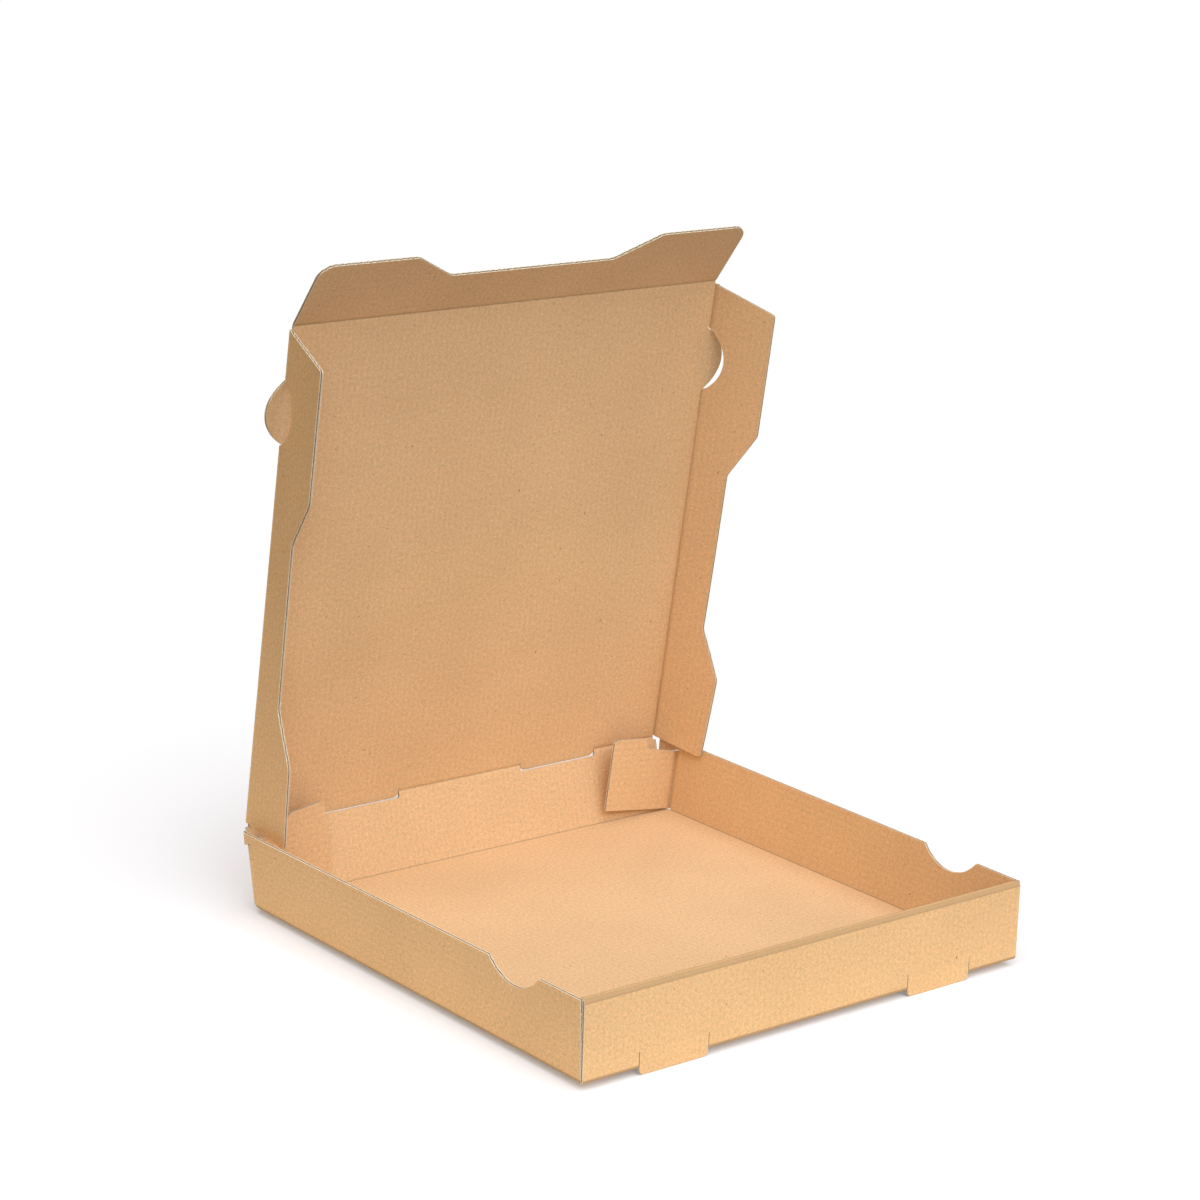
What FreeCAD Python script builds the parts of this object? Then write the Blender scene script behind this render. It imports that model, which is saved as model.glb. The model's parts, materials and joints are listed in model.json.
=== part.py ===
import FreeCAD, Part
import math
import os

# A roll-over-front pizza box, folded from one sheet of corrugated board and standing open.
# Millimetres and degrees. The origin is the middle of the base's underside, with +Z up.
# The front wall faces -Y, and the lid hangs on the rear wall at +Y.

Vector = FreeCAD.Vector
ORIGIN = Vector(0, 0, 0)
X_AXIS = Vector(1, 0, 0)
Y_AXIS = Vector(0, 1, 0)
Z_AXIS = Vector(0, 0, 1)

# Board
board = 1.5                     # thickness of the corrugated board
fold_radius = 0.6               # outside rounding of the fixed folds
crease_gap = 0.25               # clear gap beside the rolled edge of a moving panel
liner = 0.25                    # flat sheet on each face of the board
flute_pitch = 3.4               # crest to crest of the wavy sheet between the liners
flute_paper = 0.2               # thickness of the wavy sheet
flute_web = 0.32                # the wavy sheet where it slopes, measured along the board
flute_crest = 0.4               # narrow side of an open flute
flute_mouth_depth = 2.5         # how far a flute is open from a cut edge

# Tray
box_width = 262.0               # outside, left to right
box_depth = 261.0               # outside, front to back
wall_height = 39.0              # front and side walls, underside to rim
rear_wall_rise = 1.5            # the lid's crease lies this much above the rims
side_front_lean = 2.0           # outward lean of a side wall at its front end
side_rear_lean = 7.5            # outward lean of a side wall at its free rear end
rear_lean = 15.0                # backward lean of the rear wall

# Front wall, rolled over the side walls' front flaps
roll_depth = 5.0                # front face to the inner face
tucked_flap_length = 45.0       # reach of a hidden front flap inside the roll
tucked_flap_top_gap = 2.0       # hidden flap's top to the underside of the roll
tucked_flap_gap = 0.15          # front panel to the hidden flap
lock_spacing = 160.0            # middle to middle of the two locks
lock_width = 40.0               # tongue and slot, left to right
lock_drop = 3.0                 # tongue below the underside
lock_corner = 2.5               # round corners of a tongue
slit_rise = 8.0                 # slit beside a tongue, above the underside
slit_width = 0.5
slot_gap = 0.3                  # inner panel's tab to the ends and back of its slot

# Thumb notches in the side walls
notch_width = 36.0
notch_depth = 9.0

# Lid
lid_angle = 81.8                # from closed, as it stands
lid_side_clearance = 0.8        # tucked side flap to the side wall
lid_front_clearance = 0.3       # tucked front flap to the front wall
thumb_tab_width = 32.5          # half-moon tab along the lid's side crease
thumb_tab_reach = 10.0          # how far it stands out past the crease
thumb_tab_place = 212.0         # hinge to the middle of a thumb tab
thumb_hole_gap = 0.8            # thumb tab to the hole it leaves in the flap
hinge_tab_width = 48.0
hinge_tab_drop = 3.3            # hinge tab below the lid's crease
hinge_tab_corner = 3.0
hinge_tab_spacing = 125.0       # middle to middle of the two hinge tabs
hinge_tab_gap = 0.4             # hinge tab to its notch in the rear wall

# Lid flaps
front_flap_angle = 29.0         # folded from the lid's plane, as it stands
left_flap_angle = 85.0
right_flap_angle = 69.0
front_flap_depth = 38.5         # crease to the edge of the two deep ends
front_flap_waist = 24.0         # crease to the edge of the shallow middle
front_flap_deep_end = 54.0      # length of a deep end along the edge
front_flap_corner = 8.0
side_flap_depth = 34.5
side_flap_waist = 21.0
side_flap_front_gap = 2.2       # side flap's front corner to the front crease
side_flap_front_taper = 8.5     # front end cut back along the free edge
side_flap_rear_gap = 1.5        # side flap's rear corner to the hinge
side_flap_rear_taper = 4.0      # rear end cut back along the free edge
side_flap_front_part = 65.0     # length of the deep front part along the free edge
side_flap_rear_part = 43.0      # length of the deep rear part along the free edge
side_flap_corner = 1.5
waist_slope = 24.5              # run of each slope between deep and shallow edges

# Corner flaps on the side walls' rear ends
left_corner_flap_angle = 88.0   # folded from the side wall's plane, as it stands
right_corner_flap_angle = 92.0
corner_flap_length = 44.0
corner_flap_rear_gap = 0.4      # folded flap to the rear wall at its foot
corner_flap_foot_gap = 0.5      # flap to the base
corner_flap_rise = 1.2          # lower edge, from the crease to the free end
corner_flap_top_gap = 0.5       # below the rim
corner_flap_chamfer_run = 16.0
corner_flap_chamfer_drop = 8.5
corner_flap_nose = 2.5

# Worked out from the sizes above
half_board = board / 2
flute_height = board - 2 * liner - flute_paper
flute_width = flute_pitch - flute_crest - 2 * flute_web
setback = half_board + crease_gap
half_width = box_width / 2
half_depth = box_depth / 2
fold_height = half_board
roll_inner_y = roll_depth - half_depth
wall_above_fold = wall_height - fold_height
hinge_above_fold = wall_height + rear_wall_rise - fold_height
side_crease_x = half_width - board - lid_side_clearance - half_board
front_crease_v = half_depth - half_board - roll_inner_y - half_board - lid_front_clearance
rear_wall_half_width = side_crease_x + half_board
notch_y = half_depth - half_board - thumb_tab_place
corner_axis_y = half_depth - board - corner_flap_rear_gap - board
corner_axis_x = half_width - board
side_wall_rear_y = corner_axis_y - crease_gap


def rounded_outline(corners):
    """Closed wire through corners (x, y, radius), each rounded by a tangent arc."""
    count = len(corners)
    points = [Vector(x, y, 0) for x, y, radius in corners]
    starts, ends, middles = [], [], []
    for i in range(count):
        before = (points[i - 1] - points[i]).normalize()
        after = (points[(i + 1) % count] - points[i]).normalize()
        half_angle = before.getAngle(after) / 2
        radius = corners[i][2]
        along = radius / math.tan(half_angle)
        starts.append(points[i] + before * along)
        ends.append(points[i] + after * along)
        inward = (before + after).normalize()
        middles.append(points[i] + inward * (radius / math.sin(half_angle) - radius))
    edges = []
    for i in range(count):
        if corners[i][2] > 0:
            edges.append(Part.Arc(starts[i], middles[i], ends[i]).toShape())
        edges.append(Part.LineSegment(ends[i], starts[(i + 1) % count]).toShape())
    return Part.Wire(edges)


def sheet(corners):
    """Flat board of the given outline, its middle plane at z = 0."""
    solid = Part.Face(rounded_outline(corners)).extrude(Z_AXIS * board)
    solid.translate(Z_AXIS * -half_board)
    return solid


def open_flute(x, side):
    """Section at x of one flute along Y, wide at the liner on that side (+1 or -1)."""
    wide = side * (half_board - liner)
    narrow = wide - side * flute_height
    corners = [Vector(x - flute_width / 2, 0, wide), Vector(x - flute_crest / 2, 0, narrow),
               Vector(x + flute_crest / 2, 0, narrow), Vector(x + flute_width / 2, 0, wide)]
    return Part.Face(Part.makePolygon(corners + corners[:1]))


def flutes(x_start, x_end, y_start, y_end):
    """Flutes along Y, as many as fit between x_start and x_end, wide at either liner in turn."""
    count = int((x_end - x_start - flute_width) / flute_pitch)
    middle = (x_start + x_end) / 2
    sections = []
    for i in range(-count, count + 1):
        side = 1 if i % 2 else -1
        sections.append(open_flute(middle + i * flute_pitch / 2, side))
    row = Part.makeCompound(sections)
    row.translate(Y_AXIS * y_start)
    return row.extrude(Y_AXIS * (y_end - y_start))


def with_open_flutes(panel, row, *inward):
    """Panel with its flutes open at the cut edges. Each inward direction points in from some of them."""
    mouths = []
    for direction in inward:
        core = panel.copy()
        core.translate(direction * flute_mouth_depth)
        mouths.append(row.cut(core))
    return panel.cut(mouths)


def disc(x, y, radius):
    """Round piece of board, its middle plane at z = 0."""
    return Part.makeCylinder(radius, board, Vector(x, y, -half_board), Z_AXIS)


def rolled_edge(x_start, x_end, y, outward):
    """Half-round edge along X at y, bulging towards outward (+1 or -1) along Y."""
    top = Vector(x_start, y, half_board)
    nose = Vector(x_start, y + outward * half_board, 0)
    foot = Vector(x_start, y, -half_board)
    arc = Part.Arc(top, nose, foot).toShape()
    chord = Part.LineSegment(foot, top).toShape()
    return Part.Face(Part.Wire([arc, chord])).extrude(X_AXIS * (x_end - x_start))


def joined(first, *others):
    """One solid from pieces that meet, without the seams between them."""
    return first.multiFuse(list(others)).removeSplitter().Solids[0]


def turned(shape, pivot, axis, angle):
    """Copy turned about the axis through pivot."""
    copy = shape.copy()
    copy.rotate(pivot, axis, angle)
    return copy


def mirrored(shape):
    """Copy on the other side of the box."""
    return shape.mirror(ORIGIN, X_AXIS)


def segment_radius(width, height):
    """Radius of the circle whose segment has that width and height."""
    return (width * width / 4 + height * height) / (2 * height)


def base():
    """Base with rounded folds, notched rear corners and two slots that run out through the front fold."""
    panel = Part.makeBox(box_width, box_depth, board, Vector(-half_width, -half_depth, 0))
    folds = [edge for edge in panel.Edges if edge.BoundBox.ZMax < fold_height]
    panel = panel.makeFillet(fold_radius, folds)
    notch_width_x = half_width - rear_wall_half_width + board
    slot_end = roll_inner_y + slot_gap
    for side in (-1, 1):
        notch_x = side * (rear_wall_half_width + notch_width_x / 2) - notch_width_x / 2
        notch = Part.makeBox(notch_width_x, box_depth, 3 * board, Vector(notch_x, side_wall_rear_y, -board))
        slot_x = side * lock_spacing / 2 - lock_width / 2
        slot = Part.makeBox(lock_width, slot_end + box_depth, 3 * board, Vector(slot_x, -box_depth, -board))
        panel = panel.cut([notch, slot])
    return panel


def wall_section(y, lean):
    """Cross-section of the right side wall at y, leaning out about the base's fold."""
    pivot = Vector(half_width, y, fold_height)
    foot = [Vector(half_width, y, fold_height), Vector(half_width - board, y, fold_height)]
    rim = [Vector(half_width - board, y, wall_height), Vector(half_width, y, wall_height)]
    wire = Part.makePolygon(foot + rim + foot[:1])
    return turned(wire, pivot, Y_AXIS, lean)


def side_wall():
    """Right side wall: it springs outward towards its free rear end."""
    front = wall_section(board + tucked_flap_gap - half_depth, side_front_lean)
    rear = wall_section(side_wall_rear_y, side_rear_lean)
    wall = Part.makeLoft([front, rear], True, True)
    radius = segment_radius(notch_width, notch_depth)
    centre = Vector(0, notch_y, wall_height - notch_depth + radius)
    return wall.cut(Part.makeCylinder(radius, box_width, centre, X_AXIS))


def tucked_flap():
    """Front flap of the right side wall, hidden inside the rolled front wall."""
    height = wall_height - board - tucked_flap_top_gap - board
    corner = Vector(half_width - tucked_flap_length, board + tucked_flap_gap - half_depth, board)
    flap = Part.makeBox(tucked_flap_length - half_board, board, height, corner)
    return turned(flap, Vector(half_width, 0, fold_height), Y_AXIS, side_front_lean)


def front_wall():
    """Front panel, the roll over the top and the inner panel."""
    y = -half_depth
    outer = Part.makeBox(box_width, board, wall_above_fold, Vector(-half_width, y, fold_height))
    roll = Part.makeBox(box_width, roll_depth, board, Vector(-half_width, y, wall_height - board))
    inner_place = Vector(board - half_width, roll_inner_y - board, half_board)
    inner = Part.makeBox(box_width - 2 * board, board, wall_above_fold, inner_place)
    shell = outer.fuse([roll, inner]).removeSplitter()
    creases = [edge for edge in shell.Edges if is_roll_crease(edge)]
    return shell.makeFillet(fold_radius, creases)


def is_roll_crease(edge):
    """True for the two long outer edges on top of the roll."""
    box = edge.BoundBox
    on_top = box.ZMin > wall_height - board / 4
    return on_top and box.XLength > box_width / 2


def lock_tongue(x):
    """Tongue of the front panel that hangs below the base in front of its slot."""
    half = lock_width / 2 - slit_width
    top = slit_rise
    tongue = sheet([(-half, top, 0), (-half, -lock_drop, lock_corner),
                    (half, -lock_drop, lock_corner), (half, top, 0)])
    tongue = turned(tongue, ORIGIN, X_AXIS, 90)
    tongue.translate(Vector(x, half_board - half_depth, 0))
    return tongue


def lock_slits(x):
    """Opening in the front panel that leaves a slit on each side of a tongue."""
    corner = Vector(x - lock_width / 2, -half_depth - board, -board)
    return Part.makeBox(lock_width, 2 * board, slit_rise + board, corner)


def lock_tab(x):
    """Tab of the inner panel standing in the slot."""
    width = lock_width - 2 * slot_gap
    corner = Vector(x - width / 2, roll_inner_y - board, 0)
    return Part.makeBox(width, board, 2 * board, corner)


def rear_wall():
    """Rear wall up to the lid's crease, with notches for the hinge tabs."""
    top = hinge_above_fold - setback
    panel = sheet([(-rear_wall_half_width, 0, 0), (rear_wall_half_width, 0, 0),
                   (rear_wall_half_width, top, 0), (-rear_wall_half_width, top, 0)])
    notch_half = hinge_tab_width / 2 + hinge_tab_gap
    notch_foot = hinge_above_fold - hinge_tab_drop - hinge_tab_gap
    notch = sheet([(-notch_half, notch_foot, hinge_tab_corner),
                   (notch_half, notch_foot, hinge_tab_corner),
                   (notch_half, hinge_above_fold, 0), (-notch_half, hinge_above_fold, 0)])
    for side in (-1, 1):
        cutter = notch.copy()
        cutter.translate(X_AXIS * (side * hinge_tab_spacing / 2))
        panel = panel.cut(cutter)
    panel = turned(panel, ORIGIN, X_AXIS, 90)
    panel.translate(Vector(0, half_depth - half_board, fold_height))
    return turned(panel, rear_fold, X_AXIS, -rear_lean)


def tray():
    """Base, side walls, rear wall and rolled front wall: one folded sheet."""
    right = joined(side_wall(), tucked_flap())
    front = front_wall()
    for x in (-lock_spacing / 2, lock_spacing / 2):
        front = front.cut(lock_slits(x)).fuse([lock_tongue(x), lock_tab(x)])
    return joined(base(), front, right, mirrored(right), rear_wall())


def lid_panel():
    """Lid with its half-moon thumb tabs and hinge tabs, flat: x across, y up from the hinge."""
    half = side_crease_x - setback
    front = front_crease_v - setback
    panel = sheet([(-half, 0, 0), (half, 0, 0), (half, front, 0), (-half, front, 0)])
    extras = [rolled_edge(-half, half, 0, -1)]
    radius = segment_radius(thumb_tab_width, thumb_tab_reach)
    tab_half = hinge_tab_width / 2
    hinge_tab = sheet([(-tab_half, board, 0), (-tab_half, -hinge_tab_drop, hinge_tab_corner),
                       (tab_half, -hinge_tab_drop, hinge_tab_corner), (tab_half, board, 0)])
    row = flutes(hinge_tab_corner - tab_half, tab_half - hinge_tab_corner, -hinge_tab_drop - board, 0)
    hinge_tab = with_open_flutes(hinge_tab, row, Y_AXIS)
    for side in (-1, 1):
        extras.append(disc(side * thumb_tab_centre_x, thumb_tab_place, radius))
        tab = hinge_tab.copy()
        tab.translate(X_AXIS * (side * hinge_tab_spacing / 2))
        extras.append(tab)
    return joined(panel, *extras)


def lid_front_flap():
    """Front flap of the lid, flat: deep at both ends and shallow in the middle."""
    half = side_crease_x - setback
    deep, waist = front_flap_depth, front_flap_waist
    shoulder = half - front_flap_deep_end
    foot = shoulder - waist_slope
    flap = sheet([(-half, 0, 0), (half, 0, 0), (half, deep, front_flap_corner),
                  (shoulder, deep, 0), (foot, waist, 0), (-foot, waist, 0),
                  (-shoulder, deep, 0), (-half, deep, front_flap_corner)])
    flap = with_open_flutes(flap, flutes(board - half, half - board, waist / 2, deep + board), -Y_AXIS)
    flap = joined(flap, rolled_edge(-half, half, 0, -1))
    flap.translate(Y_AXIS * front_crease_v)
    return flap


def lid_side_flap():
    """Right side flap of the lid, flat, with the half-moon hole its thumb tab leaves."""
    front = front_crease_v - side_flap_front_gap
    rear = side_flap_rear_gap
    front_tip = front - side_flap_front_taper
    rear_tip = rear + side_flap_rear_taper
    front_step = front_tip - side_flap_front_part
    rear_step = rear_tip + side_flap_rear_part
    deep, waist = side_flap_depth, side_flap_waist
    flap = sheet([(0, rear, 0), (0, front, 0), (deep, front_tip, side_flap_corner),
                  (deep, front_step, 0), (waist, front_step - waist_slope, 0),
                  (waist, rear_step + waist_slope, 0), (deep, rear_step, 0),
                  (deep, rear_tip, side_flap_corner)])
    flap = with_open_flutes(flap, flutes(board, deep - board, 0, front_crease_v), Y_AXIS, -Y_AXIS)
    roll = turned(rolled_edge(rear, front, 0, 1), ORIGIN, Z_AXIS, 90)
    flap = joined(flap, roll)
    flap.translate(X_AXIS * side_crease_x)
    radius = segment_radius(thumb_tab_width, thumb_tab_reach) + thumb_hole_gap
    return flap.cut(disc(thumb_tab_centre_x, thumb_tab_place, radius))


def corner_flap():
    """Flap on the right side wall's rear end, folded square to the upright wall."""
    foot = board + corner_flap_foot_gap
    top = wall_height - corner_flap_top_gap
    length = corner_flap_length
    shoulder = top - corner_flap_chamfer_drop
    flap = sheet([(0, foot, 0), (-length, foot + corner_flap_rise, 0),
                  (-length, top - corner_flap_nose, 0), (corner_flap_nose - length, top, 0),
                  (-corner_flap_chamfer_run, top, 0), (0, shoulder, 0)])
    row = turned(flutes(foot + board, top - board, length / 2, length + board), ORIGIN, Z_AXIS, 90)
    flap = with_open_flutes(flap, row, X_AXIS)
    flap = turned(flap, ORIGIN, X_AXIS, 90)
    flap.translate(Y_AXIS * half_board)
    roll = Part.makeCylinder(board, shoulder - foot, Vector(0, 0, foot), Z_AXIS, 90)
    flap = joined(flap, roll)
    flap.translate(Vector(corner_axis_x, corner_axis_y, 0))
    return flap


def placed_corner_flap(fold):
    """Right corner flap folded inward by fold, on the leaning wall."""
    crease = Vector(corner_axis_x, corner_axis_y, 0)
    folded = turned(corner_flap(), crease, Z_AXIS, fold - 90)
    return turned(folded, Vector(half_width, 0, fold_height), Y_AXIS, side_rear_lean)


def on_open_lid(shape):
    """Piece drawn in the lid's plane, moved to where the lid stands."""
    placed = turned(shape, ORIGIN, X_AXIS, 180 - lid_angle)
    placed.translate(hinge_point)
    return placed


def hinge_place():
    """Middle of the lid's crease on top of the leaning rear wall."""
    lean = math.radians(rear_lean)
    y = half_depth - half_board * math.cos(lean) + hinge_above_fold * math.sin(lean)
    z = fold_height + half_board * math.sin(lean) + hinge_above_fold * math.cos(lean)
    return Vector(0, y, z)


rear_fold = Vector(0, half_depth, fold_height)
hinge_point = hinge_place()
thumb_tab_centre_x = side_crease_x + thumb_tab_reach - segment_radius(thumb_tab_width, thumb_tab_reach)


def main():
    """Make every piece in the place where it stands and save it."""
    right_crease = Vector(side_crease_x, 0, 0)
    left_crease = Vector(-side_crease_x, 0, 0)
    front_crease = Vector(0, front_crease_v, 0)
    right_flap = turned(lid_side_flap(), right_crease, Y_AXIS, -right_flap_angle)
    left_flap = turned(mirrored(lid_side_flap()), left_crease, Y_AXIS, left_flap_angle)
    front_flap = turned(lid_front_flap(), front_crease, X_AXIS, front_flap_angle)
    pieces = {
        "tray": tray(),
        "lid_panel": on_open_lid(lid_panel()),
        "lid_front_flap": on_open_lid(front_flap),
        "lid_left_flap": on_open_lid(left_flap),
        "lid_right_flap": on_open_lid(right_flap),
        "left_corner_flap": mirrored(placed_corner_flap(left_corner_flap_angle)),
        "right_corner_flap": placed_corner_flap(right_corner_flap_angle),
    }
    os.makedirs("parts", exist_ok=True)
    for name, piece in pieces.items():
        piece.exportStep(os.path.join("parts", name + ".step"))
        print(name, len(piece.Solids), round(piece.Volume, 1), piece.isValid())


main()
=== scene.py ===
import json
import math

import bmesh
import bpy
from bpy.props import FloatProperty, FloatVectorProperty, PointerProperty
from mathutils import Matrix, Vector


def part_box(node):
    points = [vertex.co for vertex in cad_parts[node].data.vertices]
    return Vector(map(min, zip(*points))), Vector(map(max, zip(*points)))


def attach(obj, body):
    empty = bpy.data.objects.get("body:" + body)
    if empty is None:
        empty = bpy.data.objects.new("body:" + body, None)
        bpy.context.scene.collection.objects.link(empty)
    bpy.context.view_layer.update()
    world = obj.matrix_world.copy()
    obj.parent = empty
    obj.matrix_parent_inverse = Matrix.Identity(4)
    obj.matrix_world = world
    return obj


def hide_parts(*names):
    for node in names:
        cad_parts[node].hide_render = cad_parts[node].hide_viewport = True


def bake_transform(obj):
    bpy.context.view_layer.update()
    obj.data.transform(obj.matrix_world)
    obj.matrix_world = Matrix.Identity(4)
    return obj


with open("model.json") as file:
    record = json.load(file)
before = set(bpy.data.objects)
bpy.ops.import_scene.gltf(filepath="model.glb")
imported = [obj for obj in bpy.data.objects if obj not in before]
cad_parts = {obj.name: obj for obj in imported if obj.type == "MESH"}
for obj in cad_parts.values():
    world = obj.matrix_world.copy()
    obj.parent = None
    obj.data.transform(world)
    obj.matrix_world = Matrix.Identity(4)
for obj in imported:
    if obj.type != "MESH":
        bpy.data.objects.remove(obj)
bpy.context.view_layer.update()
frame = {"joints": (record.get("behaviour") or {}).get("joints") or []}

bl_info = {
    "name": "Pizza box",
    "version": (1, 0, 0),
    "blender": (4, 5, 0),
    "location": "View3D > Sidebar > Pizza box",
    "description": "Open pizza box folded from fluted kraft board, around its CAD frame",
    "category": "Object",
}

MM = 0.001
X_AXIS = Vector((1, 0, 0))
Y_AXIS = Vector((0, 1, 0))
Z_AXIS = Vector((0, 0, 1))
JOINTS = {joint["name"]: joint for joint in frame["joints"]}
TRAY_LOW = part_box("tray")[0]

# Gaps
LAYER_GAP = 0.15 * MM
PLAY = 0.3 * MM
TUCK_GAP = 2 * MM
FLOOR_GAP = 0.2 * MM
GLUE_LINE = 0.01 * MM
CREASE_END = 1.0 * MM

# Corners and ends of boards
EAR_CORNER = 1 * MM
NOTCH_CORNER = 1.2 * MM
FLAP_CORNER = 1.5 * MM
WAIST_CORNER = 2 * MM
SADDLE_CORNER = 1 * MM
NOSE_CORNER = 0.5 * MM
FOOT_START = 0.25 * MM
FOOT_RUN = 3.2 * MM

# Fineness of the meshes
SMALL_CORNER = 4 * MM
SMALL_CORNER_STEPS = 4
WIDE_CORNER_STEPS = 24
FLUTE_STEPS = 6
WALL_FOLD_STEPS = 6
SIDE_FOLD_STEPS = 5
HALF_CREASE_STEPS = 7
ROW_STEP = 14 * MM
FOLD_EDGE = 1.2 * MM
SAME_PLACE = 0.02 * MM
ON_PLANE = 1e-7
SHARP_ANGLE = math.radians(25)

# Material slots of every board piece
OUTSIDE, INSIDE, CUT, FLUTE = 0, 1, 2, 3


# Places read from the frame

def joint_place(name):
    """Point on a joint's axis, in the row frame."""
    return Vector(JOINTS[name]["pos_m"])


def joint_axis(name):
    return Vector(JOINTS[name]["axis"])


HINGE = joint_place("lid_hinge")
LID_UP = joint_axis("lid_left_flap_fold")
LID_IN = X_AXIS.cross(LID_UP)
SIDE_CREASE = joint_place("lid_right_flap_fold").x
FRONT_CREASE = (joint_place("lid_front_flap_fold") - HINGE).dot(LID_UP)
FRONT_FOLD = -math.radians(JOINTS["lid_front_flap_fold"]["range_deg"][0])
HALF_DEPTH = -TRAY_LOW.y
REAR_SIDE_LEAN = math.acos(joint_axis("right_corner_flap_fold").z)


def length(name, value, words):
    return FloatProperty(name=name, description=words, default=value, min=0, unit="LENGTH", precision=5)


def angle(name, degrees, words):
    return FloatProperty(name=name, description=words, default=math.radians(degrees), subtype="ANGLE")


def colour(name, value, words):
    return FloatVectorProperty(name=name, description=words, default=value, size=3, min=0, max=1,
                               subtype="COLOR")


class BoardSizes(bpy.types.PropertyGroup):
    """The fluted board and its creases."""
    thickness: length("Thickness", 1.5 * MM, "Liner to liner, outside")
    liner: length("Liner", 0.34 * MM, "Thickness of each flat sheet")
    fluting: length("Fluting", 0.18 * MM, "Thickness of the wavy sheet")
    pitch: length("Flute pitch", 3.4 * MM, "Crest to crest of the fluting")
    fold_radius: length("Fold radius", 1.0 * MM, "Radius of a fixed fold at the board's middle")
    crease: length("Crease", 2.0 * MM, "Half width of the soft board that bends at a moving crease")
    score: length("Score", 0.7 * MM, "Reach of the scored groove on each side of a crease")


class TraySizes(bpy.types.PropertyGroup):
    """Base and walls."""
    width: length("Width", 262 * MM, "Side wall to side wall, outside at the base")
    wall_height: length("Wall height", 39 * MM, "Underside of the base to the rim")
    roll_depth: length("Roll depth", 5 * MM, "Front face to the inner face of the rolled front wall")
    front_lean: angle("Front lean", 2, "Outward lean of a side wall at the front")
    notch_width: length("Notch width", 36 * MM, "Thumb notch along the rim")
    notch_depth: length("Notch depth", 9 * MM, "Thumb notch below the rim")
    lock_spacing: length("Lock spacing", 160 * MM, "Middle to middle of the lock tongues")
    lock_width: length("Lock width", 40 * MM, "Lock tongue with its slits")
    lock_drop: length("Lock drop", 3 * MM, "Lock tongue below the base")
    lock_corner: length("Lock corner", 2.5 * MM, "Rounding of a tongue's corners")
    slit_rise: length("Slit rise", 8 * MM, "Slit beside a tongue, above the underside")
    slit_width: length("Slit width", 0.5 * MM, "Slit beside a tongue")
    tucked_reach: length("Tucked flap", 45 * MM, "Reach of the flap hidden in the front wall")
    left_ear: length("Left ear", 134 * MM, "Middle of the base to the end of the left wall's ear")
    right_ear: length("Right ear", 137.5 * MM, "Middle of the base to the end of the right wall's ear")
    ear_drop: length("Ear drop", 8 * MM, "Rim to the ear's lower corner")
    ear_bend: length("Ear bend", 130 * MM, "Middle of the base to where the ear turns inward")
    ear_turn: FloatProperty(name="Ear turn", description="Inward run of an ear by its length", default=0.55)
    ear_shoulder: length("Ear shoulder", 4.8 * MM, "Rim to the ear's root at the corner flap's crease")


class LidSizes(bpy.types.PropertyGroup):
    """Lid panel with its tabs."""
    thumb_tab_width: length("Thumb tab width", 32.5 * MM, "Half-moon tab along the crease")
    thumb_tab_reach: length("Thumb tab reach", 10 * MM, "Half-moon tab out past the crease")
    thumb_tab_place: length("Thumb tab place", 212 * MM, "Hinge to the middle of a thumb tab")
    thumb_hole_gap: length("Thumb hole gap", 0.3 * MM, "Thumb tab to the hole it leaves")
    hinge_tab_width: length("Hinge tab width", 48 * MM, "Hinge tab along the crease")
    hinge_tab_drop: length("Hinge tab drop", 3.3 * MM, "Hinge tab below the crease")
    hinge_tab_corner: length("Hinge tab corner", 3 * MM, "Rounding of a hinge tab")
    hinge_tab_spacing: length("Hinge tab spacing", 125 * MM, "Middle to middle of the hinge tabs")
    hinge_tab_gap: length("Hinge tab gap", 0.4 * MM, "Hinge tab to its notch")


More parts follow.
